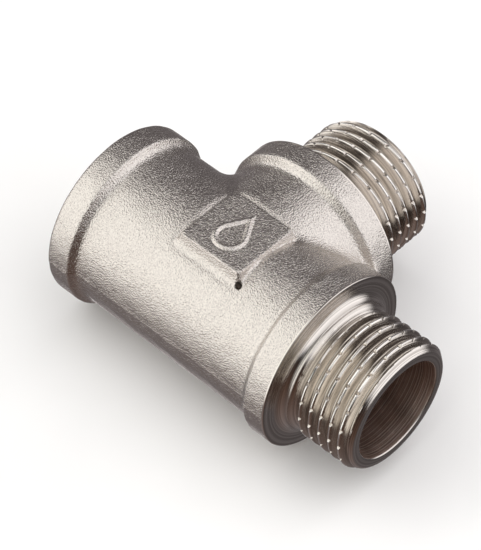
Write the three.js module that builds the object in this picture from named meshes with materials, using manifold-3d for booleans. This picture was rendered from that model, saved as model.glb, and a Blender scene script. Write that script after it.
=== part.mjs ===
// Threaded pipe tee, size G 1/2: a female run end, a male run end and a male branch.
//
// A tee like this is a single nickel-plated brass forging, so its nodes are the named regions
// of that forging, and they meet face to face:
//   tee_core                       crossing barrels, waterways and the inner turns of the socket
//   female_collar                  bead round the socket's mouth, with the outer turns
//   run_collar, branch_collar      rings that end in the flat shoulders of the two male ends
//   run_spigot, branch_spigot      tubes through those rings: root fillet, relief and male thread
//   badge_pad                      raised square on top of the crossing
//   badge_emblem                   raised outline of a water drop on the pad
//
// Units are millimetres.  The run lies along X with its male end at +X, the branch points along
// +Y, and the pad faces +Z.  Inside the group, zero is where the two axes cross; the group then
// moves the model so that the origin is the centre of the bottom of its bounding box.

import * as THREE from "three";
import { mergeVertices } from "three/addons/utils/BufferGeometryUtils.js";
import Module from "manifold-3d";

// Thread G 1/2, from ISO 228-1.
const THREAD_PITCH = 1.814;
const THREAD_MAJOR_RADIUS = 20.955 / 2;
const THREAD_MINOR_RADIUS = 18.631 / 2;
const FLANK_ANGLE = THREE.MathUtils.degToRad(27.5);
const SOCKET_CLEARANCE = 0.05;

// Lengths along the run and the branch, measured from where their axes cross.
const MALE_END = 31;
const SHOULDER = 18.5;
const FEMALE_END = -24;
const SOCKET_DEPTH = 11;
const SOCKET_CHAMFER = 0.4;

// Forged outside.
const BARREL_RADIUS = 13;
const COLLAR_RADIUS = 14.1;
const MALE_COLLAR_FOOT = 13.8;
const MALE_COLLAR_EDGE = 14.8;
const FEMALE_COLLAR_FOOT = -18.8;
const FEMALE_COLLAR_EDGE = -19.7;
const COLLAR_RIM = 0.4;
const CROTCH_RADIUS = 4;

// Turned surfaces of the male ends.
const BORE_RADIUS = 8;
const BORE_CHAMFER = 0.3;
const SPIGOT_ROOT_RADIUS = 12;
const ROOT_FILLET = 1.7;
const RELIEF_EDGE_RADIUS = 10.45;
const RELIEF_END = 20.9;
const RUNOUT_END = 21.6;
const END_CHAMFER_START = 29.9;
const END_FACE_RADIUS = 9.55;

// Where a crest of each thread crosses the side that faces +Z.
const RUN_CREST = 28.66;
const BRANCH_CREST = 29.3;
const SOCKET_CREST = FEMALE_END;

// Raised badge on the crossing.
const PAD_TOP = 13.4;
const PAD_BASE = 11.4;
const PAD_HALF_SIDE = 5.5;
const PAD_OFFSET = 0.2;
const PAD_DRAFT = 0.95;
const PAD_CORNER = 1;
const EMBLEM_HEIGHT = 0.3;
const DROP_RADIUS = 2.7;
const DROP_TIP_RATIO = 2;
const DROP_LINE = 1.05;

const ROUND_SEGMENTS = 36;
const ARC_SEGMENTS = 5;
const MERGE_DISTANCE = 1e-4;
const QUARTER_TURN = Math.PI / 2;

const wasm = await Module();
wasm.setup();

// ---- Solids and meshes ----

function toSolid(geometry) {
  const bare = geometry.clone();
  bare.deleteAttribute("normal");
  bare.deleteAttribute("uv");
  const merged = mergeVertices(bare, MERGE_DISTANCE);
  return new wasm.Manifold(
    new wasm.Mesh({
      numProp: 3,
      vertProperties: merged.attributes.position.array,
      triVerts: new Uint32Array(merged.index.array),
    }),
  );
}

function toGeometry(solid) {
  const mesh = solid.getMesh();
  const geometry = new THREE.BufferGeometry();
  geometry.setAttribute("position", new THREE.BufferAttribute(mesh.vertProperties, 3));
  geometry.setIndex(new THREE.BufferAttribute(mesh.triVerts, 1));
  geometry.computeVertexNormals();
  return geometry;
}

// A solid turned about the Y axis from its outline, a list of [distance along Y, radius].
function turned(outline) {
  const points = outline.map(([along, radius]) => new THREE.Vector2(radius, along));
  return new THREE.LatheGeometry(points, ROUND_SEGMENTS);
}

// A closed solid through rings of equally many points.  Each end is closed from its first point.
function loft(rings) {
  const count = rings[0].length;
  const positions = rings.flat().flatMap((point) => point.toArray());
  const indices = [];
  for (let ring = 0; ring + 1 < rings.length; ring += 1) {
    for (let i = 0; i < count; i += 1) {
      const next = (i + 1) % count;
      const a = ring * count + i;
      const b = ring * count + next;
      indices.push(a, b, a + count, b, b + count, a + count);
    }
  }
  const last = (rings.length - 1) * count;
  for (let i = 1; i + 1 < count; i += 1) {
    indices.push(0, i + 1, i);
    indices.push(last, last + i, last + i + 1);
  }
  const geometry = new THREE.BufferGeometry();
  geometry.setAttribute("position", new THREE.Float32BufferAttribute(positions, 3));
  geometry.setIndex(indices);
  return geometry;
}

// ---- Thread ----

// A right-handed ridge about the Y axis, with the flanks of the thread.  It starts near `from`,
// ends beyond `to`, and one of its crests lies at `crest` on the +Z side.
function threadRidge(from, to, crest, growth = 0) {
  const depth = THREAD_MAJOR_RADIUS - THREAD_MINOR_RADIUS;
  const crestHalf = (THREAD_PITCH / 2 - depth * Math.tan(FLANK_ANGLE)) / 2 + growth;
  const sunk = 0.15;
  const baseHalf = crestHalf + (depth + sunk) * Math.tan(FLANK_ANGLE);
  const crestRadius = THREAD_MAJOR_RADIUS + growth;
  const baseRadius = THREAD_MINOR_RADIUS - sunk;
  const section = [
    [baseHalf, baseRadius],
    [crestHalf, crestRadius],
    [-crestHalf, crestRadius],
    [-baseHalf, baseRadius],
  ];
  const start = crest - Math.ceil((crest - from) / THREAD_PITCH) * THREAD_PITCH;
  const steps = Math.ceil(((to - start) / THREAD_PITCH) * ROUND_SEGMENTS);
  const rings = [];
  for (let step = 0; step <= steps; step += 1) {
    const turn = step / ROUND_SEGMENTS;
    const angle = turn * 2 * Math.PI;
    const middle = start + turn * THREAD_PITCH;
    rings.push(
      section.map(
        ([along, radius]) =>
          new THREE.Vector3(radius * Math.sin(angle), middle + along, radius * Math.cos(angle)),
      ),
    );
  }
  return loft(rings);
}

// ---- Waterways, cut through every piece that they pass ----

const PAST = 2;

function boreTool(from, to) {
  return turned([
    [from, 0],
    [from, BORE_RADIUS],
    [to, BORE_RADIUS],
    [to, 0],
  ]);
}

// The threaded socket: entry chamfer, tapping-size hole, drill cone and the thread's own groove.
function socketTool() {
  const bottom = FEMALE_END + SOCKET_DEPTH;
  const mouth = THREAD_MAJOR_RADIUS + SOCKET_CHAMFER;
  const chamfer = mouth - THREAD_MINOR_RADIUS;
  const hole = turned([
    [FEMALE_END - PAST, 0],
    [FEMALE_END - PAST, mouth],
    [FEMALE_END, mouth],
    [FEMALE_END + chamfer, THREAD_MINOR_RADIUS],
    [bottom, THREAD_MINOR_RADIUS],
    [bottom + THREAD_MINOR_RADIUS / 2, 0],
  ]);
  const groove = threadRidge(
    FEMALE_END - THREAD_PITCH,
    bottom - THREAD_PITCH,
    SOCKET_CREST,
    SOCKET_CLEARANCE,
  );
  return toSolid(hole).add(toSolid(groove));
}

// ---- Male ends, built along +Y ----

// Concave fillet from the shoulder's face down to the edge where the thread's relief starts.
function rootFillet() {
  const points = [];
  const turn = Math.asin((SPIGOT_ROOT_RADIUS - RELIEF_EDGE_RADIUS) / ROOT_FILLET);
  for (let i = 0; i <= ARC_SEGMENTS; i += 1) {
    const angle = (i / ARC_SEGMENTS) * turn;
    const along = SHOULDER + ROOT_FILLET * (1 - Math.cos(angle));
    const radius = SPIGOT_ROOT_RADIUS - ROOT_FILLET * Math.sin(angle);
    points.push([along, radius]);
  }
  return points;
}

// Everything inside the thread's roots, longer than the spigot by one turn.
function rootCore() {
  return turned([
    [MALE_COLLAR_FOOT, 0],
    [MALE_COLLAR_FOOT, SPIGOT_ROOT_RADIUS],
    ...rootFillet(),
    [RELIEF_END, THREAD_MINOR_RADIUS],
    [MALE_END + THREAD_PITCH, THREAD_MINOR_RADIUS],
    [MALE_END + THREAD_PITCH, 0],
  ]);
}

// Everything inside the cone at the relief's end: the first turn rises along it.
function runoutEnvelope() {
  const slope = (THREAD_MAJOR_RADIUS - THREAD_MINOR_RADIUS) / (RUNOUT_END - RELIEF_END);
  const lead = THREAD_PITCH;
  return turned([
    [RELIEF_END - lead, 0],
    [RELIEF_END - lead, THREAD_MINOR_RADIUS - lead * slope],
    [RUNOUT_END + lead, THREAD_MAJOR_RADIUS + lead * slope],
    [MALE_END + 2 * THREAD_PITCH, THREAD_MAJOR_RADIUS + lead * slope],
    [MALE_END + 2 * THREAD_PITCH, 0],
  ]);
}

// Everything inside the end chamfer and short of the end face.
function endEnvelope() {
  const slope = (THREAD_MAJOR_RADIUS - END_FACE_RADIUS) / (MALE_END - END_CHAMFER_START);
  const wide = SPIGOT_ROOT_RADIUS + PAST;
  return turned([
    [MALE_COLLAR_FOOT - PAST, 0],
    [MALE_COLLAR_FOOT - PAST, wide],
    [MALE_END - (wide - END_FACE_RADIUS) / slope, wide],
    [MALE_END, END_FACE_RADIUS],
    [MALE_END, 0],
  ]);
}

function spigot(crest) {
  const bore = turned([
    [MALE_COLLAR_FOOT - PAST, 0],
    [MALE_COLLAR_FOOT - PAST, BORE_RADIUS],
    [MALE_END - BORE_CHAMFER, BORE_RADIUS],
    [MALE_END + PAST, BORE_RADIUS + BORE_CHAMFER + PAST],
    [MALE_END + PAST, 0],
  ]);
  const ridge = threadRidge(RELIEF_END, MALE_END + THREAD_PITCH, crest);
  return toSolid(ridge)
    .intersect(toSolid(runoutEnvelope()))
    .add(toSolid(rootCore()))
    .intersect(toSolid(endEnvelope()))
    .subtract(toSolid(bore));
}

function maleCollar() {
  return toSolid(
    turned([
      [MALE_COLLAR_FOOT, SPIGOT_ROOT_RADIUS],
      [MALE_COLLAR_FOOT, BARREL_RADIUS],
      [MALE_COLLAR_EDGE, COLLAR_RADIUS],
      [SHOULDER - COLLAR_RIM, COLLAR_RADIUS],
      [SHOULDER, COLLAR_RADIUS - COLLAR_RIM],
      [SHOULDER, SPIGOT_ROOT_RADIUS],
      [MALE_COLLAR_FOOT, SPIGOT_ROOT_RADIUS],
    ]),
  );
}

// ---- Female end, built along the same line on the -Y side ----

function femaleCollar() {
  const bead = turned([
    [FEMALE_END, 0],
    [FEMALE_END, COLLAR_RADIUS - COLLAR_RIM],
    [FEMALE_END + COLLAR_RIM, COLLAR_RADIUS],
    [FEMALE_COLLAR_EDGE, COLLAR_RADIUS],
    [FEMALE_COLLAR_FOOT, BARREL_RADIUS],
    [FEMALE_COLLAR_FOOT, 0],
  ]);
  return toSolid(bead).subtract(socketTool());
}

// ---- Core ----

// Concave web in the corner between the run and the branch, on the side given by `side`.
// At each height it fills the square corner that the two barrels leave with a round one.
function crotchWeb(side) {
  const sunk = 0.5;
  const levels = 13;
  const highest = BARREL_RADIUS * 0.97;
  const rings = [];
  for (let level = 0; level < levels; level += 1) {
    const height = highest * Math.sin(QUARTER_TURN * ((2 * level) / (levels - 1) - 1));
    const corner = Math.sqrt(BARREL_RADIUS ** 2 - height ** 2);
    const room = MALE_COLLAR_FOOT - corner;
    const radius = Math.min((CROTCH_RADIUS * corner) / BARREL_RADIUS, room);
    const ring = [new THREE.Vector3(corner - sunk, corner - sunk, height)];
    ring.push(new THREE.Vector3(corner + radius, corner - sunk, height));
    for (let i = 0; i <= ARC_SEGMENTS; i += 1) {
      const angle = (i / ARC_SEGMENTS) * QUARTER_TURN;
      const x = corner + radius * (1 - Math.sin(angle));
      const y = corner + radius * (1 - Math.cos(angle));
      ring.push(new THREE.Vector3(x, y, height));
    }
    ring.push(new THREE.Vector3(corner - sunk, corner + radius, height));
    rings.push(ring);
  }
  const web = loft(rings);
  return side > 0 ? web : web.rotateZ(QUARTER_TURN);
}

function teeCore() {
  const run = turned([
    [FEMALE_COLLAR_FOOT, 0],
    [FEMALE_COLLAR_FOOT, BARREL_RADIUS],
    [MALE_COLLAR_FOOT, BARREL_RADIUS],
    [MALE_COLLAR_FOOT, 0],
  ]).rotateZ(-QUARTER_TURN);
  const branch = turned([
    [0, 0],
    [0, BARREL_RADIUS],
    [MALE_COLLAR_FOOT, BARREL_RADIUS],
    [MALE_COLLAR_FOOT, 0],
  ]);
  const runBore = boreTool(FEMALE_END, SHOULDER).rotateZ(-QUARTER_TURN);
  const branchBore = boreTool(0, SHOULDER);
  const socket = toSolid(toGeometry(socketTool()).rotateZ(-QUARTER_TURN));
  return toSolid(run)
    .add(toSolid(branch))
    .add(toSolid(crotchWeb(1)))
    .add(toSolid(crotchWeb(-1)))
    .subtract(toSolid(runBore))
    .subtract(toSolid(branchBore))
    .subtract(socket)
    .subtract(badgePad());
}

// ---- Badge ----

// A square with rounded corners, at one height.
function roundedSquare(halfSide, corner, height) {
  const points = [];
  for (let quarter = 0; quarter < 4; quarter += 1) {
    const turn = quarter * QUARTER_TURN;
    const centre = new THREE.Vector2(halfSide - corner, halfSide - corner);
    centre.rotateAround(new THREE.Vector2(), turn);
    for (let i = 0; i <= ARC_SEGMENTS; i += 1) {
      const angle = turn + (i / ARC_SEGMENTS) * QUARTER_TURN;
      const x = centre.x + corner * Math.cos(angle);
      const y = centre.y + corner * Math.sin(angle);
      points.push(new THREE.Vector3(x, y, height));
    }
  }
  return points;
}

// The pad sits a little off the crossing, towards both male ends.
function badgePad() {
  const base = roundedSquare(PAD_HALF_SIDE + PAD_DRAFT, PAD_CORNER, PAD_BASE);
  const top = roundedSquare(PAD_HALF_SIDE, PAD_CORNER, PAD_TOP);
  return toSolid(loft([base, top]).translate(PAD_OFFSET, PAD_OFFSET, 0));
}

// Outline of a drop: a circle, closed by its two tangents from a tip towards +Y.
function addDrop(path, radius) {
  const tangent = Math.asin(1 / DROP_TIP_RATIO);
  const centre = (-DROP_RADIUS * (DROP_TIP_RATIO - 1)) / 2;
  const tip = centre + radius * DROP_TIP_RATIO;
  path.moveTo(0, tip);
  path.lineTo(-radius * Math.cos(tangent), centre + radius * Math.sin(tangent));
  path.absarc(0, centre, radius, Math.PI - tangent, 2 * Math.PI + tangent, false);
  path.lineTo(0, tip);
  return path;
}

function badgeEmblem() {
  const drop = addDrop(new THREE.Shape(), DROP_RADIUS);
  drop.holes.push(addDrop(new THREE.Path(), DROP_RADIUS - DROP_LINE));
  const raised = new THREE.ExtrudeGeometry(drop, {
    depth: EMBLEM_HEIGHT,
    bevelEnabled: false,
    curveSegments: ROUND_SEGMENTS / 2,
  });
  return toSolid(raised.translate(PAD_OFFSET, PAD_OFFSET, PAD_TOP));
}

// ---- Materials ----

function blastedNickel() {
  return new THREE.MeshStandardMaterial({ color: 0xb8b0a8, roughness: 0.55, metalness: 1 });
}

function turnedNickel() {
  return new THREE.MeshStandardMaterial({ color: 0xc4bbb0, roughness: 0.22, metalness: 1 });
}

// ---- Assembly ----

function node(name, solid, material) {
  const mesh = new THREE.Mesh(toGeometry(solid), material);
  mesh.name = name;
  return mesh;
}

const run = new THREE.Group();
run.rotation.z = -QUARTER_TURN;
run.add(node("female_collar", femaleCollar(), blastedNickel()));
run.add(node("run_collar", maleCollar(), blastedNickel()));
run.add(node("run_spigot", spigot(RUN_CREST), turnedNickel()));

const branch = new THREE.Group();
branch.add(node("branch_collar", maleCollar(), blastedNickel()));
branch.add(node("branch_spigot", spigot(BRANCH_CREST), turnedNickel()));

const crossing = new THREE.Group();
crossing.add(node("tee_core", teeCore(), blastedNickel()));
crossing.add(node("badge_pad", badgePad(), blastedNickel()));
crossing.add(node("badge_emblem", badgeEmblem(), blastedNickel()));

const axes = new THREE.Group();
axes.position.set(
  -(FEMALE_END + MALE_END) / 2,
  -(MALE_END - COLLAR_RADIUS) / 2,
  COLLAR_RADIUS,
);
axes.add(crossing, run, branch);

const tee = new THREE.Group();
tee.add(axes);

export default tee;
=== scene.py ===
"""Threaded pipe tee, G 1/2, in blasted and turned nickel-plated brass.

Shapes are worked out in millimetres from the point where the run's and the branch's axes cross,
with X along the run, Y along the branch and Z up.  to_frame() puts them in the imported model's
frame, in metres.  The forging is one implicit surface, cut where the CAD nodes meet.  The male
ends and the socket are turned skins with real helical threads.
"""
import math

import bmesh
import bpy
import numpy as np
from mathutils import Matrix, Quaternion, Vector


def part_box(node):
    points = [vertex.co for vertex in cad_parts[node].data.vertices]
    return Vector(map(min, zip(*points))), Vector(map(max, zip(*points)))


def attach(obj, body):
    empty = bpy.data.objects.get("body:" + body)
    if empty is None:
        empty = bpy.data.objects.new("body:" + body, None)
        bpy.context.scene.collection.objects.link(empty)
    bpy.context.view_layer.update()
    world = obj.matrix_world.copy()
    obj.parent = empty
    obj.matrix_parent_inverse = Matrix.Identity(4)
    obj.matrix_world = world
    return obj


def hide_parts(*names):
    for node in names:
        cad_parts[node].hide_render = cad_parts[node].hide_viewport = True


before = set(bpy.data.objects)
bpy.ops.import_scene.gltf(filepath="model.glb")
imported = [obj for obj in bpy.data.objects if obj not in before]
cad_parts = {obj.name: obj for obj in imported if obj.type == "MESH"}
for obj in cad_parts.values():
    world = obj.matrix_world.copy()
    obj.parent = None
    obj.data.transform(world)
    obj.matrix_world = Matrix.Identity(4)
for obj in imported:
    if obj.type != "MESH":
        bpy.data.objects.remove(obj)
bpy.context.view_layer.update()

MM = 0.001

# Added to or put in place of a divisor that may be zero.
TINY = 1e-6


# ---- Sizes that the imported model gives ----

def span(node, axis):
    """A CAD node's lowest and highest coordinate on one axis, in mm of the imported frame."""
    low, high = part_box(node)
    return low[axis] / MM, high[axis] / MM


X, Y, Z = range(3)
CROSSING = np.array([
    sum(span("branch_collar", X)) / 2,
    sum(span("run_collar", Y)) / 2,
    sum(span("run_collar", Z)) / 2,
])


def reach(node, axis):
    """The same as span, measured from where the axes cross."""
    low, high = span(node, axis)
    return low - CROSSING[axis], high - CROSSING[axis]


MALE_END = reach("run_spigot", X)[1]
SPIGOT_ROOT_RADIUS = reach("run_spigot", Z)[1]
COLLAR_FOOT, SHOULDER = reach("run_collar", X)
FEMALE_END, FEMALE_FOOT = reach("female_collar", X)
COLLAR_RADIUS = reach("run_collar", Z)[1]
BARREL_RADIUS = -reach("tee_core", Y)[0]
PAD_BASE, PAD_TOP = reach("badge_pad", Z)
PAD_X = sum(reach("badge_pad", X)) / 2
PAD_Y = sum(reach("badge_pad", Y)) / 2
EMBLEM_TOP = reach("badge_emblem", Z)[1]
DROP_RADIUS = reach("badge_emblem", X)[1] - PAD_X

# ---- Sizes of the details, in mm and degrees ----

BORE_RADIUS = 8.0
BORE_LIP_ROUND = 0.22

# The forging's beads, crotch, parting flash and unevenness.
COLLAR_SLOPE = 1.0
FEMALE_SLOPE = 0.65
FEMALE_RAMP_START = 0.25
COLLAR_EDGE_ROUND = 0.22
COLLAR_FOOT_ROUND = 0.35
FEMALE_FOOT_ROUND = 0.8
END_ROUND = 1.0
CROTCH_CHAMFER = 1.6
CROTCH_ROUND = 0.9
FLASH_HEIGHT = 0.055
FLASH_WIDTH = 0.32
WAVE_HEIGHT = 0.022
RIPPLE_HEIGHT = 0.012

# The raised pad, the groove along its foot and the punched pit at its near corner.
PAD_HALF_SIDE = 5.5
PAD_DRAFT = 0.28
PAD_CORNER_ROUND = 0.5
PAD_FAR_CORNER_ROUND = 1.6
FAR_CORNER_FADE = 0.5
PAD_EDGE_ROUND = 0.2
PAD_FOOT_ROUND = 0.15
PAD_NEAR_FOOT_ROUND = 0.75
NEAR_FOOT_START = -PAD_HALF_SIDE / 3
NEAR_FOOT_FADE = 1 / 3
GROOVE_DEPTH = 0.24
GROOVE_WIDTH = 0.65
PIT_RADIUS = 0.52
PIT_STRETCH = 3.2
PIT_CENTRE_DEPTH = 0.9
PIT_OUTSIDE = 0.45
PIT_EDGE_ROUND = 0.1

# The drop on the pad: the width of its line, and the line's rounded crest as half widths and
# shares of its height.
DROP_LINE = 1.05
DROP_SUNK = 0.1
DROP_SHOULDER_HALF = 0.16
DROP_SHOULDER_RISE = 0.8
DROP_CREST_HALF = 0.06
DROP_CREST_RISE = 0.97
DROP_TIP = 2.0

# Thread G 1/2, from ISO 228-1.
PITCH = 1.814
MAJOR_RADIUS = 20.955 / 2
THREAD_DEPTH = 0.640327 * PITCH
MINOR_RADIUS = MAJOR_RADIUS - THREAD_DEPTH
THREAD_ROUND = 0.137329 * PITCH
FLANK = math.radians(27.5)
APEX = 0.960491 * PITCH / 6

# Turned male ends.  Each end's crest is where its helix passes angle zero, and its notch is
# the angle of the first notch.
RUN_CREST = 28.66
BRANCH_CREST = 29.3
FACING = 0.3
RIM_ROUND = 0.15
RELIEF_EDGE_RADIUS = 10.45
FILLET_TURN = 76
RELIEF_LAND = 0.15
RELIEF_END = 20.9
RUNOUT_END = 21.6
END_CHAMFER_START = 29.9
END_FACE_RADIUS = 9.55
END_CHAMFER_FALL = (MAJOR_RADIUS - END_FACE_RADIUS) / (MALE_END - END_CHAMFER_START)
END_CORNER_ROUND = 0.6
NOTCHES = 21
NOTCH_DEPTH = 0.34
NOTCH_HALF_WIDTH = 0.33
RUN_NOTCH = 90.4
BRANCH_NOTCH = 15.3

# Turned socket.
SOCKET_CHAMFER = 0.4
SOCKET_DEPTH = 11.0
SOCKET_CONE = 1.0
SOCKET_WALL = 11.2
SOCKET_CLEARANCE = 0.05

# How fine the meshes are: points round a turned skin and on the drop, and steps in mm.
AROUND = 480
DROP_ARC_POINTS = 48
DROP_SIDE_POINTS = 13
THREAD_STEP = 0.075
GRID_STEP = 0.25

# How the forging's points are drawn onto its surface: how many times, the step over which
# slopes are measured, and the least square of a slope that is divided by.
PROJECTIONS = 4
SLOPE_STEP = 0.01
LEAST_SLOPE = 0.05

# How far past a cut the quads are kept until the cut is made, and the cut's tolerance.
CUT_SPARE = 4 * GRID_STEP
CUT_TOLERANCE = 1e-7

# Edges that turn by more than this stay sharp.
FORGED_SHARP = 38
TURNED_SHARP = 32
EMBLEM_SHARP = 50

# How close to a turned surface counts as on it.
NEAR_FORGED_BORE = 0.1
NEAR_FEMALE_FACE = 0.03
NEAR_TURNED_BORE = 0.01

# The thread_shading level of turned metal that has no thread, which keeps the metal's own colour
# with no painted light.
UNTHREADED_SHADING = 0.93


def to_frame(points):
    """Points in mm from the crossing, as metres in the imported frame."""
    return (np.asarray(points) + CROSSING) * MM


# ---- Mesh helpers ----

def quads_mesh(name, points, quads):
    """A mesh of quads from points in mm from the crossing."""
    mesh = bpy.data.meshes.new(name)
    mesh.vertices.add(len(points))
    mesh.vertices.foreach_set("co", to_frame(points).astype(np.float32).ravel())
    mesh.loops.add(quads.size)
    mesh.loops.foreach_set("vertex_index", quads.astype(np.int32).ravel())
    mesh.polygons.add(len(quads))
    mesh.polygons.foreach_set("loop_start", np.arange(0, quads.size, 4, dtype=np.int32))
    mesh.update(calc_edges=True)
    mesh.validate()
    return mesh


def add_object(name, mesh):
    piece = bpy.data.objects.new(name, mesh)
    bpy.context.scene.collection.objects.link(piece)
    return piece


def signed_volume(points, quads):
    """The volume inside the quads, below zero where they face inwards."""
    a, b, c, d = (points[quads[:, i]] for i in range(4))
    first = np.einsum("ij,ij->i", a, np.cross(b, c))
    second = np.einsum("ij,ij->i", a, np.cross(c, d))
    return (first.sum() + second.sum()) / 6


def closed_quads(points, rows, columns):
    """Quads that face outwards, over rows of points that close in a ring both ways."""
    row = np.arange(rows)[:, None]
    column = np.arange(columns)[None, :]
    next_row = (row + 1) % rows
    next_column = (column + 1) % columns
    corners = (
        row * columns + column,
        row * columns + next_column,
        next_row * columns + next_column,
        next_row * columns + column,
    )
    quads = np.stack([corner.ravel() for corner in corners], axis=1)
    return quads if signed_volume(points, quads) > 0 else quads[:, ::-1]


def smooth_shaded(mesh, sharp_angle):
    mesh.polygons.foreach_set("use_smooth", np.ones(len(mesh.polygons), dtype=bool))
    mesh.set_sharp_from_angle(angle=math.radians(sharp_angle))


def set_attribute(mesh, name, values):
    """A number for each vertex, which a material reads by its name.

    "lathe" is the distance along the turned outline, in mm, which the turning marks follow.
    "thread_shading" is 0 at a thread's root, where painted shade is put, 1 on its crest, where a
    painted highlight is put, and UNTHREADED_SHADING away from the thread.
    """
    attribute = mesh.attributes.new(name, "FLOAT", "POINT")
    attribute.data.foreach_set("value", np.asarray(values, dtype=np.float32).ravel())


# ---- The forging as an implicit surface ----

def smooth_min(a, b, width):
    """The lesser of two fields, blended where they differ by less than width."""
    overlap = np.maximum(width - np.abs(a - b), 0) / np.maximum(width, TINY)
    return np.minimum(a, b) - overlap * overlap * width / 4


def smooth_max(a, b, width):
    return -smooth_min(-a, -b, width)


def fade(distance, width):
    """1 well below zero, 0 well above it and half at zero."""
    return 1 / (1 + np.exp(distance / width))


def collar(along, radius, foot, slope):
    """A bead that starts at foot and reaches its full radius after slope, in slope's direction."""
    rise = COLLAR_RADIUS - BARREL_RADIUS
    ramp = (radius - BARREL_RADIUS) * abs(slope) - (along - foot) * rise * np.sign(slope)
    return smooth_max(radius - COLLAR_RADIUS, ramp / math.hypot(rise, slope), COLLAR_EDGE_ROUND)


def run_limb(x, radius):
    barrel = radius - BARREL_RADIUS
    male = collar(x, radius, COLLAR_FOOT, COLLAR_SLOPE)
    female = collar(x, radius, FEMALE_FOOT - FEMALE_RAMP_START, -FEMALE_SLOPE)
    return smooth_min(smooth_min(barrel, male, COLLAR_FOOT_ROUND), female, FEMALE_FOOT_ROUND)


def branch_limb(y, radius):
    barrel = np.maximum(radius - BARREL_RADIUS, -y)
    return smooth_min(barrel, collar(y, radius, COLLAR_FOOT, COLLAR_SLOPE), COLLAR_FOOT_ROUND)


def crossing(run, branch, alike):
    """Run and branch joined by a web: a chamfer that fades out where the two surfaces merge."""
    room = 1 - alike
    web = (run + branch - CROTCH_CHAMFER * room) / math.sqrt(2)
    joined = smooth_min(run, web, CROTCH_ROUND * room)
    return smooth_min(joined, branch, CROTCH_ROUND * room)


def pad_walls(x, y, z):
    """Distance outside the raised square's drafted sides.  Its far corner is the roundest."""
    tilt = math.hypot(1, PAD_DRAFT)
    x = x - PAD_X
    y = y - PAD_Y
    far_corner = fade(x - y + PAD_HALF_SIDE, FAR_CORNER_FADE)
    corner = PAD_CORNER_ROUND + (PAD_FAR_CORNER_ROUND - PAD_CORNER_ROUND) * far_corner
    inset = PAD_HALF_SIDE + (PAD_TOP - z) * PAD_DRAFT - corner
    side_x = np.abs(x) - inset
    side_y = np.abs(y) - inset
    beyond = np.hypot(np.maximum(side_x, 0), np.maximum(side_y, 0))
    return (beyond + np.minimum(np.maximum(side_x, side_y), 0) - corner) / tilt


def with_pad(outside, x, y, z):
    """The forging's skin with a groove and the pad, whose foot is the softest on its near side."""
    walls = pad_walls(x, y, z)
    near_side = fade(y - PAD_Y - NEAR_FOOT_START, NEAR_FOOT_FADE)
    foot_round = PAD_FOOT_ROUND + (PAD_NEAR_FOOT_ROUND - PAD_FOOT_ROUND) * near_side
    groove = GROOVE_DEPTH * np.exp(-((walls / GROOVE_WIDTH) ** 2)) * (z > 0)
    pad = np.maximum(smooth_max(walls, z - PAD_TOP, PAD_EDGE_ROUND), PAD_BASE - z)
    return smooth_min(outside + groove, pad, foot_round)


def forging(points):
    """Below zero inside the forging, above zero outside it, and close to the distance in mm."""
    x, y, z = points.T
    run_radius = np.hypot(y, z)
    branch_radius = np.hypot(x, z)
    facing_alike = np.clip(z * z / (run_radius * branch_radius + TINY), 0, 1)
    outside = crossing(run_limb(x, run_radius), branch_limb(y, branch_radius), facing_alike)
    outside = outside - FLASH_HEIGHT * np.exp(-((z / FLASH_WIDTH) ** 2))
    outside = smooth_max(outside + unevenness(x, y, z), FEMALE_END - x, END_ROUND)
    outside = with_pad(outside, x, y, z)
    outside = smooth_max(outside, PIT_RADIUS - distance_to_pit(x, y, z), PIT_EDGE_ROUND)
    bore = np.minimum(run_radius, np.where(y > 0, branch_radius, np.inf)) - BORE_RADIUS
    socket_back = FEMALE_END + SOCKET_DEPTH + SOCKET_CONE
    socket = np.maximum(run_radius - SOCKET_WALL, x - socket_back)
    return np.maximum(outside, -np.minimum(bore, socket))


def distance_to_pit(x, y, z):
    """Distance from the middle of the small punched pit outside the pad's near corner."""
    corner = PAD_HALF_SIDE + PIT_OUTSIDE
    height = math.sqrt(BARREL_RADIUS ** 2 - (PAD_Y - corner) ** 2)
    off = np.hypot(x - PAD_X - corner, y - PAD_Y + corner)
    return np.hypot(off, (z - height + PIT_CENTRE_DEPTH) / PIT_STRETCH)


def unevenness(x, y, z):
    """The slight waviness that forging and blasting leave, in mm."""
    waves = np.sin(0.71 * x + 1.3 * z) * np.sin(0.83 * y - 0.6 * z)
    ripple = np.sin(1.9 * x - 1.1 * y) * np.sin(1.7 * z + 0.4 * x)
    return WAVE_HEIGHT * waves + RIPPLE_HEIGHT * ripple


def gradient(field, points):
    """The field's slope in each direction at the points."""
    slopes = []
    for axis in range(3):
        offset = np.zeros(3)
        offset[axis] = SLOPE_STEP
        rise = field(points + offset) - field(points - offset)
        slopes.append(rise / (2 * SLOPE_STEP))
    return np.stack(slopes, axis=1)


def cell_points(values, low, step):
    """One point in each grid cell that the surface crosses: the mean of its edge crossings."""
    cells = tuple(n - 1 for n in values.shape)
    total = np.zeros(cells + (3,))
    count = np.zeros(cells)
    index = np.indices(values.shape).astype(float)
    for axis in range(3):
        start = [slice(None)] * 3
        end = [slice(None)] * 3
        start[axis] = slice(0, -1)
        end[axis] = slice(1, None)
        a, b = values[tuple(start)], values[tuple(end)]
        crossed = (a < 0) != (b < 0)
        part = np.where(crossed, a / np.where(crossed, a - b, 1), 0)
        others = [other for other in range(3) if other != axis]
        for first in (0, 1):
            for second in (0, 1):
                near = [slice(None)] * 3
                near[others[0]] = slice(first, cells[others[0]] + first)
                near[others[1]] = slice(second, cells[others[1]] + second)
                near = tuple(near)
                count += crossed[near]
                for k in range(3):
                    place = index[k][tuple(start)][near] + (part[near] if k == axis else 0)
                    total[..., k] += np.where(crossed[near], place, 0)
    used = count > 0
    number = np.full(cells, -1)
    number[used] = np.arange(used.sum())
    return low + step * total[used] / count[used][:, None], number


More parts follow.
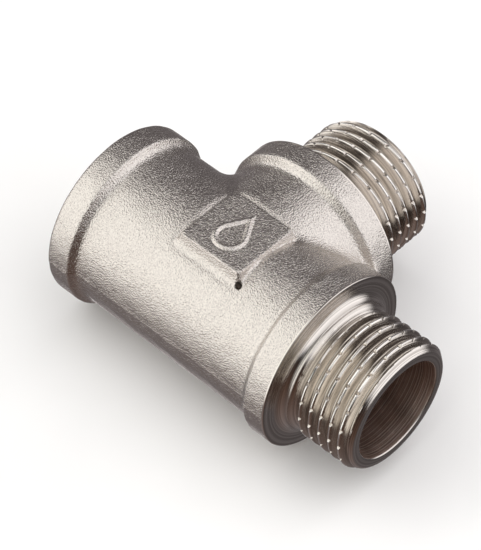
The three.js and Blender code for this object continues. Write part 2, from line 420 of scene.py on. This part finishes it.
def cell_quads(values, number):
    """A quad for each grid edge that the surface crosses, through the four cells round it."""
    quads = []
    for axis in range(3):
        u, v = [(axis + 1) % 3, (axis + 2) % 3]
        start = [slice(1, -1)] * 3
        end = [slice(1, -1)] * 3
        start[axis] = slice(0, -1)
        end[axis] = slice(1, None)
        a, b = values[tuple(start)], values[tuple(end)]
        for crossed, turned in (((a < 0) & (b >= 0), False), ((a >= 0) & (b < 0), True)):
            place = np.argwhere(crossed)
            place[:, u] += 1
            place[:, v] += 1
            corners = []
            for back_u, back_v in ((1, 1), (0, 1), (0, 0), (1, 0)):
                cell = place.copy()
                cell[:, u] -= back_u
                cell[:, v] -= back_v
                corners.append(number[tuple(cell.T)])
            quad = np.stack(corners, axis=1)
            quads.append(quad[:, ::-1] if turned else quad)
    return np.concatenate(quads)


def surface_net(field, low, high, step):
    """A quad mesh of the field's zero surface, with its points drawn onto the surface."""
    low = np.asarray(low, dtype=float)
    counts = np.ceil((np.asarray(high) - low) / step).astype(int) + 1
    axes = [low[i] + step * np.arange(counts[i]) for i in range(3)]
    grid = np.stack(np.meshgrid(*axes, indexing="ij"), axis=-1).reshape(-1, 3)
    values = field(grid).reshape(counts)
    points, number = cell_points(values, low, step)
    quads = cell_quads(values, number)
    for _ in range(PROJECTIONS):
        value = field(points)
        slope = gradient(field, points)
        size = np.maximum((slope * slope).sum(axis=1), LEAST_SLOPE)
        move = -(value / size)[:, None] * slope
        points = points + np.clip(move, -step / 2, step / 2)
    return points, quads


# ---- Cutting the forging into its pieces ----

def bisect(shape, plane, clear_outer):
    """Cuts along a plane and returns the cut's edges.  What is past the plane may be cleared."""
    place, normal = plane
    cut = bmesh.ops.bisect_plane(
        shape,
        geom=shape.verts[:] + shape.edges[:] + shape.faces[:],
        dist=CUT_TOLERANCE,
        plane_co=Vector(to_frame(place)),
        plane_no=Vector(normal),
        clear_outer=clear_outer,
    )
    return [item for item in cut["geom_cut"] if isinstance(item, bmesh.types.BMEdge)]


def cut_piece(name, points, quads, planes, creases, materials):
    """The part of the forging on the inner side of each plane, closed by a flat face at each cut.

    A plane is a point in mm from the crossing and a normal that points away from what is kept.
    Creases are planes that only put a row of edges where the outline has a corner.
    """
    keep = np.ones(len(points), dtype=bool)
    for place, normal in planes:
        keep &= (points - np.asarray(place)) @ np.asarray(normal) < CUT_SPARE
    near = quads[keep[quads].all(axis=1)]
    used, renumbered = np.unique(near, return_inverse=True)
    mesh = quads_mesh(name, points[used], renumbered.reshape(near.shape))
    shape = bmesh.new()
    shape.from_mesh(mesh)
    for plane in planes:
        rim = bisect(shape, plane, True)
        bmesh.ops.triangle_fill(shape, edges=rim, use_beauty=True, normal=Vector(plane[1]))
    for plane in creases:
        bisect(shape, plane, False)
    shape.to_mesh(mesh)
    shape.free()
    mesh.update()
    smooth_shaded(mesh, FORGED_SHARP)
    mark_machined(mesh)
    for material in materials:
        mesh.materials.append(material)
    return add_object(name, mesh)


def mark_machined(mesh):
    """Gives the bores the second material and the female end face the third.

    Their turning marks follow the distance along the axis or, on the face, away from it.
    """
    points = np.empty(len(mesh.vertices) * 3)
    mesh.vertices.foreach_get("co", points)
    x, y, z = (points.reshape(-1, 3) / MM - CROSSING).T
    run_radius = np.hypot(y, z)
    in_run = run_radius < BORE_RADIUS + NEAR_FORGED_BORE
    in_branch = (np.hypot(x, z) < BORE_RADIUS + NEAR_FORGED_BORE) & (y > 0)
    set_attribute(mesh, "lathe", np.where(in_run, x, np.where(in_branch, y, run_radius)))
    set_attribute(mesh, "thread_shading", np.full(len(x), UNTHREADED_SHADING))
    on_face = x < FEMALE_END + NEAR_FEMALE_FACE
    kind = np.where(in_run | in_branch, 1, np.where(on_face, 2, 0))
    indices = [min(kind[vertex] for vertex in face.vertices) for face in mesh.polygons]
    mesh.polygons.foreach_set("material_index", indices)


# ---- Threads ----

def thread_depth(offset):
    """Depth of the rounded thread below its crest, at this distance along the axis from one."""
    half = PITCH / 2
    u = np.abs((offset + half) % PITCH - half)
    touch = THREAD_ROUND * math.cos(FLANK)

    def arc(distance):
        inside = np.maximum(THREAD_ROUND ** 2 - distance ** 2, 0)
        return THREAD_ROUND - np.sqrt(inside)

    flank = u / math.tan(FLANK) - APEX
    root = THREAD_DEPTH - arc(half - u)
    return np.where(u < touch, arc(u), np.where(u > half - touch, root, flank))


ANGLES = np.arange(AROUND) * 2 * math.pi / AROUND
LEAD = PITCH * ANGLES / (2 * math.pi)


def notch_floor(first_notch):
    """Radius that the fibre-gripping notches leave at each angle, or infinity between them."""
    spacing = 2 * math.pi / NOTCHES
    off = (ANGLES - math.radians(first_notch) + spacing / 2) % spacing - spacing / 2
    share = 1 - np.abs(off) * MAJOR_RADIUS / NOTCH_HALF_WIDTH
    return np.where(share > 0, MAJOR_RADIUS - NOTCH_DEPTH * share, np.inf)


def male_thread_radius(along, crest, first_notch):
    """The male end's radius at each angle, at this distance along its axis."""
    thread = MAJOR_RADIUS - thread_depth(along - crest - LEAD)
    thread = np.minimum(thread, notch_floor(first_notch))
    rise = max(along - RELIEF_END, 0) / (RUNOUT_END - RELIEF_END)
    runout = MINOR_RADIUS + rise * THREAD_DEPTH
    chamfer = END_FACE_RADIUS + (MALE_END - along) * END_CHAMFER_FALL
    return np.minimum(np.minimum(thread, runout), chamfer)


# ---- Turned skins ----

def arc_rows(centre, radius, start, end, steps):
    """Rows along an arc of the outline.  Angles are from the axis direction towards outwards."""
    rows = []
    for i in range(steps + 1):
        angle = math.radians(start + (end - start) * i / steps)
        along = centre[0] + radius * math.cos(angle)
        rows.append((along, centre[1] + radius * math.sin(angle)))
    return rows


def line_rows(start, end, steps):
    """Rows along a straight stretch of the outline, with both of its ends."""
    return [
        (
            start[0] + (end[0] - start[0]) * i / steps,
            start[1] + (end[1] - start[1]) * i / steps,
        )
        for i in range(steps + 1)
    ]


def male_end_rows(crest, first_notch):
    """The closed outline of a male end, from its bore's inner end round to the same place."""
    back = SHOULDER - FACING
    rim = COLLAR_RADIUS
    rows = line_rows((back, BORE_RADIUS), (back, rim), 3)
    rows += arc_rows((SHOULDER - RIM_ROUND, rim - RIM_ROUND), RIM_ROUND, 90, 0, 4)
    fillet = (SPIGOT_ROOT_RADIUS - RELIEF_EDGE_RADIUS) / math.sin(math.radians(FILLET_TURN))
    fillet_centre = (SHOULDER + fillet, SPIGOT_ROOT_RADIUS)
    rows += line_rows((SHOULDER, rim - 2 * RIM_ROUND), (SHOULDER, SPIGOT_ROOT_RADIUS), 6)
    rows += arc_rows(fillet_centre, fillet, 180, 180 + FILLET_TURN, 14)[1:]
    land_end = (rows[-1][0] + RELIEF_LAND, RELIEF_EDGE_RADIUS)
    rows += line_rows(land_end, (RELIEF_END, MINOR_RADIUS), 8)
    face_angle = math.atan2(1, END_CHAMFER_FALL)
    corner_drop = END_CORNER_ROUND * math.tan(face_angle / 2)
    corner_centre = (MALE_END - END_CORNER_ROUND, END_FACE_RADIUS - corner_drop)
    thread_end = MALE_END - END_CORNER_ROUND * (1 - math.cos(face_angle))
    steps = round((thread_end - RELIEF_END) / THREAD_STEP)
    for i in range(1, steps):
        along = RELIEF_END + (thread_end - RELIEF_END) * i / steps
        rows.append((along, male_thread_radius(along, crest, first_notch)))
    rows += arc_rows(corner_centre, END_CORNER_ROUND, math.degrees(face_angle), 0, 10)
    lip_radius = BORE_RADIUS + BORE_LIP_ROUND
    rows += line_rows(rows[-1], (MALE_END, lip_radius), 4)[1:]
    rows += arc_rows((MALE_END - BORE_LIP_ROUND, lip_radius), BORE_LIP_ROUND, 0, -90, 6)[1:]
    rows += line_rows(rows[-1], (back, BORE_RADIUS), 24)[1:-1]
    return rows


def socket_rows():
    """The closed outline of the threaded lining, from the socket's bottom to its mouth and back."""
    bottom = FEMALE_END + SOCKET_DEPTH
    back = bottom + SOCKET_CONE
    mouth = MAJOR_RADIUS + SOCKET_CHAMFER
    rows = line_rows((back, BORE_RADIUS), (bottom, MINOR_RADIUS), 6)
    steps = round(SOCKET_DEPTH / THREAD_STEP)
    for i in range(1, steps + 1):
        along = bottom - SOCKET_DEPTH * i / steps
        groove = MAJOR_RADIUS + SOCKET_CLEARANCE - thread_depth(along - FEMALE_END - LEAD)
        share = min(1.0, (bottom - along) / PITCH)
        chamfer = mouth - (along - FEMALE_END)
        rows.append((along, np.maximum(MINOR_RADIUS + (groove - MINOR_RADIUS) * share, chamfer)))
    rows += line_rows((FEMALE_END, mouth), (FEMALE_END, SOCKET_WALL), 2)[1:]
    rows += line_rows((FEMALE_END, SOCKET_WALL), (back, SOCKET_WALL), 12)[1:]
    rows += line_rows((back, SOCKET_WALL), (back, BORE_RADIUS), 3)[1:-1]
    return rows


def thread_shading(along, radius):
    """How near each point is to the crest of the male thread, for painted shade at the root and a
    painted highlight at the crest.
    """
    share = np.clip(1 - (MAJOR_RADIUS - radius) / THREAD_DEPTH, 0, 1)
    threaded = (along > RELIEF_END) & (along < END_CHAMFER_START)
    return np.where(threaded, share, UNTHREADED_SHADING)


def turned_skin(name, rows, axis, side, materials):
    """A closed skin of revolution.  axis is its direction, side the direction of angle zero.

    The bore gets the second material.
    """
    axis, side = np.asarray(axis, dtype=float), np.asarray(side, dtype=float)
    third = np.cross(axis, side)
    along = np.stack([np.broadcast_to(row[0], AROUND) for row in rows])
    radius = np.stack([np.broadcast_to(row[1], AROUND) for row in rows])
    outward = np.cos(ANGLES)[:, None] * side + np.sin(ANGLES)[:, None] * third
    points = (along[..., None] * axis + radius[..., None] * outward).reshape(-1, 3)
    mesh = quads_mesh(name, points, closed_quads(points, len(rows), AROUND))
    steps = np.hypot(np.diff(along[:, 0]), np.diff(radius[:, 0]))
    distance = np.concatenate([[0], np.cumsum(steps)])
    set_attribute(mesh, "lathe", np.repeat(distance, AROUND))
    # Painted shade towards each thread root and a painted highlight on each crest, which the turned
    # material reads.
    set_attribute(mesh, "thread_shading", thread_shading(along, radius))
    smooth_shaded(mesh, TURNED_SHARP)
    for material in materials:
        mesh.materials.append(material)
    on_bore = radius[:, 0] < BORE_RADIUS + NEAR_TURNED_BORE
    bore_strips = on_bore & np.roll(on_bore, -1)
    mesh.polygons.foreach_set("material_index", np.repeat(bore_strips, AROUND).astype(np.int32))
    return add_object(name, mesh)


# ---- Emblem ----

def drop_outline(radius, height):
    """A drop's outline at one height: a circle closed by its two tangents from a tip at +Y.

    The tip is DROP_TIP times the radius away from the circle's centre.
    """
    tangent = math.asin(1 / DROP_TIP)
    centre = -DROP_RADIUS * (DROP_TIP - 1) / 2
    angles = np.linspace(math.pi - tangent, 2 * math.pi + tangent, DROP_ARC_POINTS)
    round_part = np.stack([radius * np.cos(angles), centre + radius * np.sin(angles)], axis=1)
    tip = np.array([[0.0, centre + radius * DROP_TIP]])
    shares = np.linspace(0, 1, DROP_SIDE_POINTS)[1:-1, None]
    left = tip + (round_part[0] - tip) * shares
    right = round_part[-1] + (tip - round_part[-1]) * shares
    flat = np.concatenate([tip, left, round_part, right]) + (PAD_X, PAD_Y)
    return np.concatenate([flat, np.full((len(flat), 1), height)], axis=1)


def emblem(material):
    """The drop's raised line: one cross-section, as insets and heights, taken round the drop."""
    half = DROP_LINE / 2
    rise = EMBLEM_TOP - PAD_TOP
    section = [
        (0.0, -DROP_SUNK),
        (0.0, 0.0),
        (half - DROP_SHOULDER_HALF, DROP_SHOULDER_RISE * rise),
        (half - DROP_CREST_HALF, DROP_CREST_RISE * rise),
    ]
    section += [(DROP_LINE - inset, height) for inset, height in reversed(section)]
    rings = [drop_outline(DROP_RADIUS - inset, PAD_TOP + height) for inset, height in section]
    points = np.concatenate(rings)
    mesh = quads_mesh("badge_drop", points, closed_quads(points, len(rings), len(rings[0])))
    smooth_shaded(mesh, EMBLEM_SHARP)
    mesh.materials.append(material)
    return add_object("badge_drop", mesh)


# ---- Materials ----

def empty_material(name):
    """A material with one shader, and its nodes and links."""
    material = bpy.data.materials.new(name)
    material.use_nodes = True
    nodes = material.node_tree.nodes
    nodes.clear()
    output = nodes.new("ShaderNodeOutputMaterial")
    shader = nodes.new("ShaderNodeBsdfPrincipled")
    material.node_tree.links.new(shader.outputs["BSDF"], output.inputs["Surface"])
    return material, nodes, material.node_tree.links, shader


def object_place(nodes):
    """Where each point is on its object, in metres."""
    return nodes.new("ShaderNodeTexCoord").outputs["Object"]


def read_attribute(nodes, name):
    """The number that set_attribute gave each vertex."""
    node = nodes.new("ShaderNodeAttribute")
    node.attribute_name = name
    return node.outputs["Fac"]


def noise(nodes, links, vector, scale, detail, roughness=0.5):
    node = nodes.new("ShaderNodeTexNoise")
    node.inputs["Scale"].default_value = scale
    node.inputs["Detail"].default_value = detail
    node.inputs["Roughness"].default_value = roughness
    links.new(vector, node.inputs["Vector"])
    return node.outputs["Fac"]


def ramp(nodes, links, value, stops):
    """A colour ramp; stops are (position, (r, g, b))."""
    node = nodes.new("ShaderNodeValToRGB")
    elements = node.color_ramp.elements
    while len(elements) < len(stops):
        elements.new(0.5)
    for element, (position, colour) in zip(elements, stops):
        element.position = position
        element.color = (*colour, 1)
    links.new(value, node.inputs["Fac"])
    return node.outputs["Color"]


def map_range(nodes, links, value, low, high, to_low, to_high):
    node = nodes.new("ShaderNodeMapRange")
    node.inputs["From Min"].default_value = low
    node.inputs["From Max"].default_value = high
    node.inputs["To Min"].default_value = to_low
    node.inputs["To Max"].default_value = to_high
    links.new(value, node.inputs["Value"])
    return node.outputs["Result"]


def bump(nodes, links, height, strength, distance, under=None):
    node = nodes.new("ShaderNodeBump")
    node.inputs["Strength"].default_value = strength
    node.inputs["Distance"].default_value = distance
    links.new(height, node.inputs["Height"])
    if under is not None:
        links.new(under, node.inputs["Normal"])
    return node.outputs["Normal"]


def combined(nodes, links, operation, first, second):
    """Two colours added or multiplied."""
    node = nodes.new("ShaderNodeVectorMath")
    node.operation = operation
    links.new(first, node.inputs[0])
    links.new(second, node.inputs[1])
    return node.outputs["Vector"]


def forged_nickel():
    """Shot-blasted forging under nickel: a fine, strong grain with slightly darker pits."""
    material, nodes, links, shader = empty_material("forged_nickel")
    place = object_place(nodes)
    grain = noise(nodes, links, place, 4600, 1, 0.5)
    cloud = noise(nodes, links, place, 260, 3, 0.5)
    colour = ramp(nodes, links, grain, [
        (0.3, (0.65, 0.605, 0.575)),
        (0.6, (0.75, 0.715, 0.675)),
    ])
    links.new(colour, shader.inputs["Base Color"])
    links.new(map_range(nodes, links, cloud, 0.3, 0.7, 0.2, 0.27), shader.inputs["Roughness"])
    links.new(bump(nodes, links, grain, 1, 0.00013), shader.inputs["Normal"])
    shader.inputs["Metallic"].default_value = 1
    return material


def lathe_marks(nodes, links, scale, detail):
    """Noise that changes only along the turned outline, so it makes rings round the axis."""
    marks = nodes.new("ShaderNodeTexNoise")
    marks.noise_dimensions = "1D"
    marks.inputs["Scale"].default_value = scale
    marks.inputs["Detail"].default_value = detail
    links.new(read_attribute(nodes, "lathe"), marks.inputs["W"])
    return marks.outputs["Fac"]


def turned_nickel():
    """Turned metal under nickel: rings left by the tool, painted shade in the thread roots and a
    painted highlight on the crests.
    """
    material, nodes, links, shader = empty_material("turned_nickel")
    place = object_place(nodes)
    stain = noise(nodes, links, place, 420, 3, 0.55)
    # Painted shade darkens the thread roots and a near-white painted highlight lights the crests;
    # plain turned metal keeps its own colour.
    metal = ramp(nodes, links, read_attribute(nodes, "thread_shading"), [
        (0.0, (0.64, 0.59, 0.53)),
        (0.85, (0.76, 0.71, 0.655)),
        (UNTHREADED_SHADING, (0.8, 0.76, 0.72)),
        (0.98, (1.0, 0.98, 0.95)),
    ])
    streaks = ramp(nodes, links, lathe_marks(nodes, links, 2.2, 3), [
        (0.38, (0.66, 0.65, 0.64)),
        (0.58, (1, 1, 1)),
    ])
    colour = combined(nodes, links, "MULTIPLY", metal, streaks)
    links.new(colour, shader.inputs["Base Color"])
    links.new(map_range(nodes, links, stain, 0.3, 0.7, 0.1, 0.17), shader.inputs["Roughness"])
    broad = bump(nodes, links, lathe_marks(nodes, links, 3.5, 2), 0.7, 0.00004)
    fine = bump(nodes, links, lathe_marks(nodes, links, 9, 2), 0.7, 0.00002, under=broad)
    grain = noise(nodes, links, place, 5000, 2, 0.5)
    links.new(bump(nodes, links, grain, 0.25, 0.00002, under=fine), shader.inputs["Normal"])
    shader.inputs["Metallic"].default_value = 1
    return material


def bored_brass():
    """The drilled bores: thinly plated, dull and brown, with brighter tool rings."""
    material, nodes, links, shader = empty_material("bored_brass")
    place = object_place(nodes)
    rings = lathe_marks(nodes, links, 5, 3)
    colour = ramp(nodes, links, rings, [
        (0.35, (0.5, 0.38, 0.33)),
        (0.52, (0.72, 0.57, 0.5)),
        (0.66, (0.95, 0.84, 0.77)),
    ])
    links.new(colour, shader.inputs["Base Color"])
    cloud = noise(nodes, links, place, 500, 3, 0.5)
    links.new(map_range(nodes, links, cloud, 0.3, 0.7, 0.3, 0.42), shader.inputs["Roughness"])
    links.new(bump(nodes, links, rings, 0.7, 0.00006), shader.inputs["Normal"])
    shader.inputs["Metallic"].default_value = 1
    return material


def floor_material():
    """A pale matt floor, a little uneven in tone."""
    material, nodes, links, shader = empty_material("pale_floor")
    place = object_place(nodes)
    cloud = noise(nodes, links, place, 30, 3, 0.5)
    colour = ramp(nodes, links, cloud, [(0.3, (0.86, 0.86, 0.86)), (0.7, (0.9, 0.9, 0.9))])
    links.new(colour, shader.inputs["Base Color"])
    shader.inputs["Roughness"].default_value = 0.6
    return material


# ---- Stage, light and camera ----

def make_camera():
    """The photograph's viewpoint: a long lens from above, between the two male ends."""
    azimuth, elevation, roll = math.radians(42.66), math.radians(49.67), math.radians(0.46)
    distance = 399.1
    aim = np.array([-0.69, 2.0, 1.65])
    back = np.array([
        math.sin(azimuth) * math.cos(elevation),
        -math.cos(azimuth) * math.cos(elevation),
        math.sin(elevation),
    ])
    data = bpy.data.cameras.new("camera")
    data.lens = 182.6
    data.sensor_width = 36
    camera = bpy.data.objects.new("camera", data)
    bpy.context.scene.collection.objects.link(camera)
    camera.location = to_frame(aim + back * distance)
    look = Vector(-back).to_track_quat("-Z", "Y")
    camera.rotation_mode = "QUATERNION"
    camera.rotation_quaternion = look @ Quaternion((0, 0, 1), roll)
    bpy.context.scene.camera = camera


def make_floor():
    half = 2.0
    mesh = bpy.data.meshes.new("floor")
    corners = [(-half, -half, 0), (half, -half, 0), (half, half, 0), (-half, half, 0)]
    mesh.from_pydata(corners, [], [(0, 1, 2, 3)])
    mesh.materials.append(floor_material())
    floor = add_object("floor", mesh)
    floor.visible_glossy = False


def make_floor_light():
    """A soft box high overhead that whitens the floor, and that the metal doesn't mirror."""
    data = bpy.data.lights.new("floor_light", "AREA")
    data.shape = "DISK"
    data.size = 1.8
    data.energy = 8
    light = bpy.data.objects.new("floor_light", data)
    light.location = (0, 0, 1)
    light.visible_glossy = False
    bpy.context.scene.collection.objects.link(light)


def soft_box(nodes, links, name, direction, half_angle, blur, colour):
    """Light from a round patch of the studio, as a colour for each direction of the world.

    The patch reaches half_angle degrees from its middle, and its edge is soft by blur degrees.
    """
    toward = nodes.new("ShaderNodeVectorMath")
    toward.operation = "DOT_PRODUCT"
    links.new(nodes["Studio direction"].outputs["Generated"], toward.inputs[0])
    toward.inputs[1].default_value = Vector(direction).normalized()
    outer = math.cos(math.radians(half_angle + blur))
    inner = math.cos(math.radians(half_angle - blur))
    share = map_range(nodes, links, toward.outputs["Value"], outer, inner, 0, 1)
    light = nodes.new("ShaderNodeVectorMath")
    light.name = name
    light.operation = "SCALE"
    light.inputs[0].default_value = colour
    links.new(share, light.inputs["Scale"])
    return light.outputs["Vector"]


def make_world():
    """A dim room with a large soft box on the left in front and one on the right behind.

    The walls, the ground, a brown bench and the white sweep under the object are faint patches.
    """
    world = bpy.data.worlds.new("studio")
    bpy.context.scene.world = world
    world.use_nodes = True
    nodes, links = world.node_tree.nodes, world.node_tree.links
    nodes.new("ShaderNodeTexCoord").name = "Studio direction"
    everywhere = nodes.new("ShaderNodeVectorMath")
    everywhere.inputs[0].default_value = (0.024, 0.021, 0.021)
    light = everywhere.outputs["Vector"]
    boxes = [
        ("left", (-0.58, -0.7, 0.42), 53, 7, (1.15, 1.14, 1.09)),
        ("right", (0.72, 0.48, 0.5), 52, 7, (1.12, 1.1, 1.1)),
        ("walls", (-0.6, 0.5, 0), 90, 50, (0.1, 0.09, 0.092)),
        ("ground", (-0.6, -0.2, -0.77), 60, 30, (0.1, 0.092, 0.094)),
        ("bench", (0.45, -0.6, -0.66), 40, 25, (0.07, 0.035, 0.02)),
        ("sweep", (-0.44, 0.42, -0.79), 11, 6, (0.8, 0.78, 0.76)),
    ]
    for name, direction, half_angle, blur, colour in boxes:
        box = soft_box(nodes, links, name, direction, half_angle, blur, colour)
        light = combined(nodes, links, "ADD", light, box)
    links.new(light, nodes["Background"].inputs["Color"])


# ---- The tee ----

def make_forging(forged, bored, turned):
    """The forging, cut into its pieces at the planes where the CAD nodes meet.

    The diagonal planes part the two male collars, whose edges touch.  The branch's last plane
    keeps the female collar's edge out of its piece.
    """
    margin = 2 * GRID_STEP
    side = COLLAR_RADIUS + margin
    back = SHOULDER - FACING
    low = (FEMALE_END - margin, -side, -side)
    high = (SHOULDER + margin, SHOULDER + margin, side)
    points, quads = surface_net(forging, low, high, GRID_STEP)
    diagonal = 1 / math.sqrt(2)
    core_planes = [
        ((COLLAR_FOOT, 0, 0), (1, 0, 0)),
        ((0, COLLAR_FOOT, 0), (0, 1, 0)),
        ((FEMALE_FOOT, 0, 0), (-1, 0, 0)),
    ]
    female_planes = [((FEMALE_FOOT, 0, 0), (1, 0, 0))]
    run_planes = [
        ((COLLAR_FOOT, 0, 0), (-1, 0, 0)),
        ((back, 0, 0), (1, 0, 0)),
        ((0, 0, 0), (-diagonal, diagonal, 0)),
    ]
    branch_planes = [
        ((0, COLLAR_FOOT, 0), (0, -1, 0)),
        ((0, back, 0), (0, 1, 0)),
        ((0, 0, 0), (diagonal, -diagonal, 0)),
        ((-side, 0, 0), (-1, 0, 0)),
    ]
    female_edge = FEMALE_FOOT - FEMALE_RAMP_START - FEMALE_SLOPE
    male_edge = COLLAR_FOOT + COLLAR_SLOPE
    female_creases = [((female_edge, 0, 0), (1, 0, 0))]
    run_creases = [((male_edge, 0, 0), (1, 0, 0))]
    branch_creases = [((0, male_edge, 0), (0, 1, 0))]
    made = [
        ("forged_core", core_planes, [], ("tee_core", "badge_pad")),
        ("forged_female_collar", female_planes, female_creases, ("female_collar",)),
        ("forged_run_collar", run_planes, run_creases, ("run_collar",)),
        ("forged_branch_collar", branch_planes, branch_creases, ("branch_collar",)),
    ]
    for name, planes, creases, nodes in made:
        piece = cut_piece(name, points, quads, planes, creases, [forged, bored, turned])
        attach(piece, "root")
        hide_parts(*nodes)


def make_turned_ends(materials):
    """The two male ends and the socket's threaded lining."""
    up = (0, 0, 1)
    run_rows = male_end_rows(RUN_CREST, RUN_NOTCH)
    branch_rows = male_end_rows(BRANCH_CREST, BRANCH_NOTCH)
    run = turned_skin("turned_run_end", run_rows, (1, 0, 0), up, materials)
    branch = turned_skin("turned_branch_end", branch_rows, (0, 1, 0), up, materials)
    socket = turned_skin("turned_socket", socket_rows(), (1, 0, 0), up, materials)
    ends = [(run, "run_spigot"), (branch, "branch_spigot"), (socket, "female_collar")]
    for piece, node in ends:
        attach(piece, "root")
        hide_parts(node)


make_camera()
make_floor()
make_world()
make_floor_light()
forged = forged_nickel()
turned = turned_nickel()
bored = bored_brass()
make_forging(forged, bored, turned)
make_turned_ends([turned, bored])
badge = emblem(forged)
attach(badge, "root")
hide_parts("badge_emblem")

bpy.context.scene.view_settings.view_transform = "Standard"
